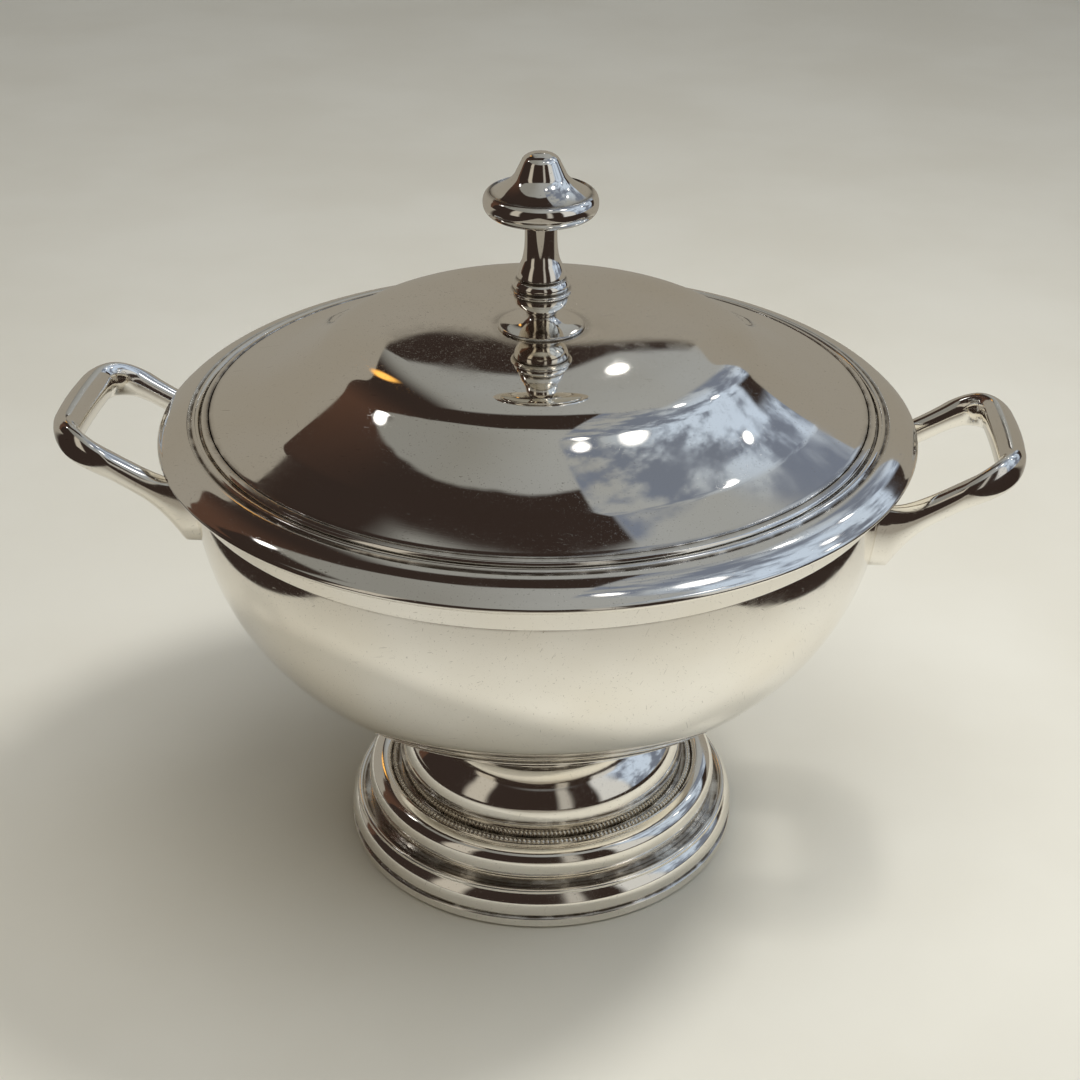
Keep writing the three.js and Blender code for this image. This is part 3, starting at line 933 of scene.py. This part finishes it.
MATERIALS = {
    "silver_plate": silver_plate(
        "plate_body", polish=0.05, haze=0.11,
        ring_depth=0.002, scratch_depth=0.004, wave_depth=0.03,
    ),
    "silver_plate_lid": silver_plate(
        "plate_lid", polish=0.03, haze=0.07,
        ring_depth=0.0012, scratch_depth=0.003, wave_depth=0.03,
    ),
    "silver_plate_handle": silver_plate(
        "plate_handle", polish=0.06, haze=0.13,
        ring_depth=0, scratch_depth=0.004, wave_depth=0.05,
    ),
    "silver_plate_finial": silver_plate(
        "plate_finial", polish=0.04, haze=0.09,
        ring_depth=0.001, scratch_depth=0.002, wave_depth=0,
    ),
    "milled_wire": silver_plate(
        "plate_milled", polish=0.12, haze=0.2,
        ring_depth=0, scratch_depth=0, wave_depth=0, tint=(0.9, 0.88, 0.84),
    ),
    "brass_hardware": brass("brass_worn"),
}

# ---- the pieces on their bodies -----------------------------------------------------------

TURNED = {
    "foot_base_ring": foot_base_ring,
    "foot_band": foot_band,
    "foot_torus": foot_torus,
    "foot_neck": foot_neck,
    "foot_collar": foot_collar,
    "bowl_shell": bowl_shell,
    "rim_flange": rim_flange,
    "lid_shell": lid_shell,
    "lid_edge_wire": lid_edge_wire,
    "lid_bezel": lid_bezel,
    "finial_foot": finial_foot,
    "finial_stem": finial_stem,
    "finial_knob": finial_knob,
    "finial_washer": finial_washer,
}
SPECIAL = {
    "foot_milled_ring": milled_ring,
    "finial_stud": finial_stud,
    "finial_nut": finial_nut,
    "handle_right": lambda name: handle(name, 1),
    "handle_left": lambda name: handle(name, -1),
}
SMALL_RADIUS = 30
FINE = {"segments": 72, "longest": 1.5}
BROAD = {"segments": 144, "longest": 3.0}


def make_piece(node):
    """The finished piece that stands for a CAD node."""
    name = node + "_finished"
    if node in SPECIAL:
        return SPECIAL[node](name)
    fineness = FINE if radius_of(node) < SMALL_RADIUS else BROAD
    return turned(name, TURNED[node](), **fineness)


PART_SLOT = {part["node"]: part["material_slot"] for part in frame["record"]["subparts"]}

for node in sorted(frame["nodes"]):
    piece = make_piece(node)
    piece.data.materials.append(MATERIALS[PART_SLOT[node]])
    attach(piece, frame["nodes"][node]["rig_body"])
    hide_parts(node)

# ---- floor --------------------------------------------------------------------------------

FLOOR_RADIUS = 6.0
FLOOR_DROP = 0.0002
FLOOR_PALE = colour(0.80, 0.765, 0.655)
FLOOR_PALER = colour(0.85, 0.82, 0.715)

# Where the floor changes in the reflections, in metres from the object's axis. Further out it is
# painted darker, as painted shade where the lamps' light falls off.
FAR_START = 0.15
FAR_FULL = 0.55
TABLE_HALF_WIDTH = 0.29
TABLE_EDGE_BLUR = 0.006
TABLE_BACK_START = 0.15
TABLE_BACK_END = 0.3


def pale_floor():
    """A pale floor. To the reflections it is a narrow pale table with the dark beyond its sides,
    painted darker further out as painted shade.
    """
    around = 64
    turn = np.arange(around) * 2 * math.pi / around
    edge = [(FLOOR_RADIUS * math.cos(a), FLOOR_RADIUS * math.sin(a), 0) for a in turn]
    mesh = bpy.data.meshes.new("floor")
    mesh.from_pydata(edge, [], [list(range(around))])
    floor = bpy.data.objects.new("floor", mesh)
    bpy.context.scene.collection.objects.link(floor)
    material = bpy.data.materials.new("pale_floor")
    material.use_nodes = True
    shader = Shader(material.node_tree)
    place = shader.add("ShaderNodeTexCoord").outputs["Object"]
    mottle = shader.between(shader.noise(place, 6.0, detail=4.0), 0.3, 0.7)
    base = shader.mix(mottle, FLOOR_PALE, FLOOR_PALER)

    across, along, _ = shader.add("ShaderNodeSeparateXYZ", {0: place}).outputs
    aside = shader.math("ABSOLUTE", across)
    off_table = shader.between(aside, TABLE_HALF_WIDTH, TABLE_HALF_WIDTH + TABLE_EDGE_BLUR)
    in_front = shader.between(along, TABLE_BACK_START, TABLE_BACK_END, 1.0, 0.0)
    dark = shader.math("MULTIPLY", off_table, in_front)
    from_axis = shader.add("ShaderNodeVectorMath", {0: place}, operation="LENGTH").outputs["Value"]
    # Painted shade: the floor seen in the metal darkens with distance from the axis.
    far_painted_shade = shader.between(from_axis, FAR_START, FAR_FULL)
    beyond = shader.math("MAXIMUM", far_painted_shade, dark)
    reflected = shader.add("ShaderNodeLightPath").outputs["Is Glossy Ray"]
    near_colour = shader.add("ShaderNodeBsdfPrincipled", {"Base Color": base, "Roughness": 0.6})
    far_colour = shader.add("ShaderNodeEmission", {0: shader.mix(dark, CREAM_WALL, DARK_WOOD)})
    surface = shader.add("ShaderNodeMixShader", {
        0: shader.math("MULTIPLY", reflected, beyond),
        1: near_colour.outputs[0],
        2: far_colour.outputs[0],
    })
    shader.add("ShaderNodeOutputMaterial", {"Surface": surface.outputs[0]})
    mesh.materials.append(material)
    floor.location.z = -FLOOR_DROP


# ---- room seen in the reflections ---------------------------------------------------------

CREAM_WALL = colour(0.30, 0.275, 0.23)
DARK_WOOD = colour(0.032, 0.022, 0.018)
RED_WOOD = colour(0.085, 0.045, 0.030)
GREY_CEILING = colour(0.24, 0.237, 0.215)
PALE_CEILING = colour(0.34, 0.35, 0.345)
WINDOW_SKY = colour(0.56, 0.66, 0.80)
WINDOW_SHADE = colour(0.17, 0.195, 0.25)
AMBER_GLOW = colour(1.5, 0.75, 0.16)
BACKDROP = colour(0.80, 0.78, 0.73)

# Places in the room are given in degrees from straight up, to the right and to the back.
CEILING_EDGE = 46
PRESS_EDGE = 5.5
WINDOW_EDGE = 7
WALL_TOP_BACK = 66.6
RAIL_BACK = 63.2
AMBER_LAMP = {"to_right": -22, "to_back": 50, "radius": 2.5}

# Lit doorways: the azimuth of the middle, half the width in degrees, and the colour.
DOORWAYS = [
    (118, 13, colour(0.62, 0.62, 0.60)),
    (158, 5, colour(0.42, 0.40, 0.36)),
    (-132, 9, colour(0.48, 0.44, 0.37)),
]

# White lamps: degrees to the right and to the back, the radius in degrees, and the brightness.
WHITE_LAMPS = [
    (30, -7, 4.5, 3),
    (13, -13, 2.5, 2.5),
    (52, 17, 1.8, 5),
    (37, 35, 1.4, 6),
    (25, 30, 1.4, 6),
    (-47, 10, 2.6, 4),
    (-0.9, 63.9, 0.5, 5),
]


class RoomView:
    """The direction that a reflection looks in, as sockets in degrees.

    The sockets straight_right and straight_back measure a plan of the room round the point
    straight up. The sockets right and back are the same with a slow wobble, for uneven edges.
    """

    def __init__(self, shader):
        self.shader = shader
        self.direction = shader.add("ShaderNodeTexCoord").outputs["Generated"]
        x, y, z = shader.add("ShaderNodeSeparateXYZ", {0: self.direction}).outputs
        self.azimuth = shader.math("MULTIPLY", shader.math("ARCTAN2", x, y), 180 / math.pi)
        self.from_zenith = shader.math("MULTIPLY", shader.math("ARCCOSINE", z), 180 / math.pi)
        never_zero = 1.0001
        flat = shader.math("SUBTRACT", never_zero, shader.math("MULTIPLY", z, z))
        spread = shader.math("DIVIDE", self.from_zenith, shader.math("SQRT", flat))
        self.straight_right = shader.math("MULTIPLY", x, spread)
        self.straight_back = shader.math("MULTIPLY", y, spread)
        wobble = shader.noise(self.direction, 2.5, detail=3.0)
        wobble = shader.math("MULTIPLY", shader.math("SUBTRACT", wobble, 0.5), 7.0)
        self.right = shader.math("ADD", self.straight_right, wobble)
        self.back = shader.math("ADD", self.straight_back, wobble)

    def within(self, *masks):
        """The overlap of masks that run from 0 to 1."""
        overlap = masks[0]
        for mask in masks[1:]:
            overlap = self.shader.math("MULTIPLY", overlap, mask)
        return overlap

    def past(self, value, edge, softness):
        """1 where the value is past an edge that is softness wide to each side."""
        return self.shader.between(value, edge - softness, edge + softness)

    def short_of(self, value, edge, softness):
        return self.shader.between(value, edge - softness, edge + softness, 1.0, 0.0)

    def near(self, to_right, to_back, radius):
        """A soft-edged round patch."""
        inputs = {0: self.straight_right, 1: self.straight_back}
        plan = self.shader.add("ShaderNodeCombineXYZ", inputs).outputs[0]
        inputs = {0: plan, 1: (to_right, to_back, 0)}
        offset = self.shader.add("ShaderNodeVectorMath", inputs, operation="DISTANCE")
        return self.short_of(offset.outputs["Value"], radius, radius / 2)


def ceiling_colour(shader, view):
    """Paler towards the window."""
    paler = shader.between(view.right, -25.0, 12.0)
    return shader.mix(paler, GREY_CEILING, PALE_CEILING)


def add_doorways(shader, view, room):
    """Lit doorways low in front, to the right and to the left."""
    upright = view.past(view.from_zenith, CEILING_EDGE, 4)
    for centre, half_width, lit_colour in DOORWAYS:
        off_centre = shader.math("ABSOLUTE", shader.math("SUBTRACT", view.azimuth, centre))
        inside = view.short_of(off_centre, half_width, 3)
        room = shader.mix(view.within(upright, inside), room, lit_colour)
    return room


def add_press(shader, view, room):
    """A wooden press behind and to the left, redder further out, where it also ends sooner."""
    redder = shader.between(shader.math("ABSOLUTE", view.right), 25.0, 60.0)
    wood = shader.mix(redder, DARK_WOOD, RED_WOOD)
    slant = shader.math("MULTIPLY", shader.math("ADD", view.right, 10.0), -0.2)
    to_back = shader.math("SUBTRACT", view.back, shader.math("MAXIMUM", slant, 0.0))
    left = view.short_of(view.straight_right, WINDOW_EDGE, 0.5)
    return shader.mix(view.within(view.past(to_back, PRESS_EDGE, 1), left), room, wood)


def add_window(shader, view, room):
    """A tall window and its blind to the right, bluer further out, with dark drapes behind."""
    blind = shader.noise(view.direction, 5.0, detail=4.0, roughness=0.6)
    sky = shader.mix(shader.between(view.right, 12.0, 40.0), PALE_CEILING, WINDOW_SKY)
    window = shader.mix(view.past(blind, 0.5, 0.1), WINDOW_SHADE, sky)
    drapes = view.within(view.past(view.right, 41, 3), view.past(view.back, 45.5, 1.5))
    window = shader.mix(drapes, window, DARK_WOOD)
    beside = view.past(view.straight_right, WINDOW_EDGE, 0.5)
    return shader.mix(view.within(beside, view.past(view.back, -20, 4)), room, window)


def add_rail(shader, view, room):
    """The ceiling again, low over the middle of the wall, with a dark rail under it."""
    right_of_press = view.past(view.straight_right, -16.5, 3.5)
    left_of_window = view.short_of(view.straight_right, 20, 2)
    middle = view.within(right_of_press, left_of_window)
    low_ceiling = view.within(middle, view.past(view.back, 30.5, 1.5))
    room = shader.mix(low_ceiling, room, ceiling_colour(shader, view))
    thinnest = WALL_TOP_BACK - 0.9
    edge = shader.between(view.straight_right, -5.0, -1.0, RAIL_BACK, thinnest)
    rail = view.past(shader.math("SUBTRACT", view.straight_back, edge), 0, 0.2)
    return shader.mix(view.within(middle, rail), room, DARK_WOOD)


def add_cream_wall(shader, view, room):
    """The wall behind, whose top steps down to the left and slopes down to the right."""
    step_down = shader.between(view.straight_right, -33.0, -9.0, -23.5, 0.0)
    left_slope = shader.between(view.straight_right, -62.0, -33.0, -12.0, 0.0)
    right_slope = shader.between(view.straight_right, 1.0, 18.0, 0.0, -9.0)
    slopes = shader.math("ADD", shader.math("ADD", step_down, left_slope), right_slope)
    wall_top = shader.math("ADD", slopes, WALL_TOP_BACK)
    over_top = shader.math("SUBTRACT", view.straight_back, wall_top)
    return shader.mix(view.past(over_top, 0, 0.25), room, CREAM_WALL)


def add_lamps(shader, view, room):
    """A shaded amber lamp, and white lamps that show only in direct reflections."""
    room = shader.mix(view.near(**AMBER_LAMP), room, AMBER_GLOW)
    bounces = shader.add("ShaderNodeLightPath").outputs["Diffuse Depth"]
    direct = shader.math("LESS_THAN", bounces, 0.5)
    for to_right, to_back, radius, brightness in WHITE_LAMPS:
        lit = view.within(direct, view.near(to_right, to_back, radius))
        room = shader.mix(lit, room, colour(brightness, brightness, brightness))
    return room


def studio_world():
    """A pale backdrop to the camera, and a room of soft-edged patches to everything else."""
    world = bpy.data.worlds.new("studio")
    bpy.context.scene.world = world
    world.use_nodes = True
    shader = Shader(world.node_tree)
    view = RoomView(shader)
    overhead = view.short_of(view.from_zenith, CEILING_EDGE, 2)
    room = shader.mix(overhead, DARK_WOOD, ceiling_colour(shader, view))
    for add_to in (add_doorways, add_press, add_window, add_rail, add_cream_wall, add_lamps):
        room = add_to(shader, view, room)
    seen = shader.add("ShaderNodeLightPath").outputs["Is Camera Ray"]
    shown = shader.mix(seen, room, BACKDROP)
    background = shader.add("ShaderNodeBackground", {"Color": shown, "Strength": 1.0})
    shader.add("ShaderNodeOutputWorld", {"Surface": background.outputs[0]})


# ---- lamps that light the floor -----------------------------------------------------------


def aim(thing, location, target, roll=0.0):
    direction = Vector(target) - Vector(location)
    thing.location = location
    thing.rotation_mode = "QUATERNION"
    thing.rotation_quaternion = direction.to_track_quat("-Z", "Y") @ Quaternion((0, 0, 1), roll)


def around_object(distance, azimuth, elevation, target):
    """A place seen from the target. Azimuth is 0 behind it and grows to the right."""
    a, e = math.radians(azimuth), math.radians(elevation)
    step = Vector((math.sin(a) * math.cos(e), math.cos(a) * math.cos(e), math.sin(e)))
    return Vector(target) + step * distance


CENTRE = (0, 0, 0.15)


def lamp(name, azimuth, elevation, distance, size, power):
    """A round soft lamp that lights the floor but is not itself seen in the metal."""
    light = bpy.data.lights.new(name, "AREA")
    light.shape = "DISK"
    light.size = size
    light.energy = power
    thing = bpy.data.objects.new(name, light)
    bpy.context.scene.collection.objects.link(thing)
    aim(thing, around_object(distance, azimuth, elevation, CENTRE), CENTRE)
    thing.visible_glossy = False


def studio_lamps():
    lamp("key", azimuth=75, elevation=64, distance=0.85, size=0.18, power=3.6)
    lamp("fill", azimuth=170, elevation=80, distance=1.6, size=1.4, power=12)


# ---- camera -------------------------------------------------------------------------------

CAMERA_TARGET = (0.03125, 0, 0.0693)
CAMERA_DISTANCE = 0.6557
CAMERA_AZIMUTH = 180 - 0.96
CAMERA_ELEVATION = 32.76
CAMERA_ROLL = math.radians(1.64)
CAMERA_LENS = 60.46
CAMERA_SHIFT = (-0.0817, 0.1061)


def photo_camera():
    data = bpy.data.cameras.new("camera")
    data.lens = CAMERA_LENS
    data.shift_x, data.shift_y = CAMERA_SHIFT
    camera = bpy.data.objects.new("camera", data)
    bpy.context.scene.collection.objects.link(camera)
    place = around_object(CAMERA_DISTANCE, CAMERA_AZIMUTH, CAMERA_ELEVATION, CAMERA_TARGET)
    aim(camera, place, CAMERA_TARGET, CAMERA_ROLL)
    bpy.context.scene.camera = camera


pale_floor()
studio_world()
studio_lamps()
photo_camera()
bpy.context.scene.view_settings.view_transform = "Standard"
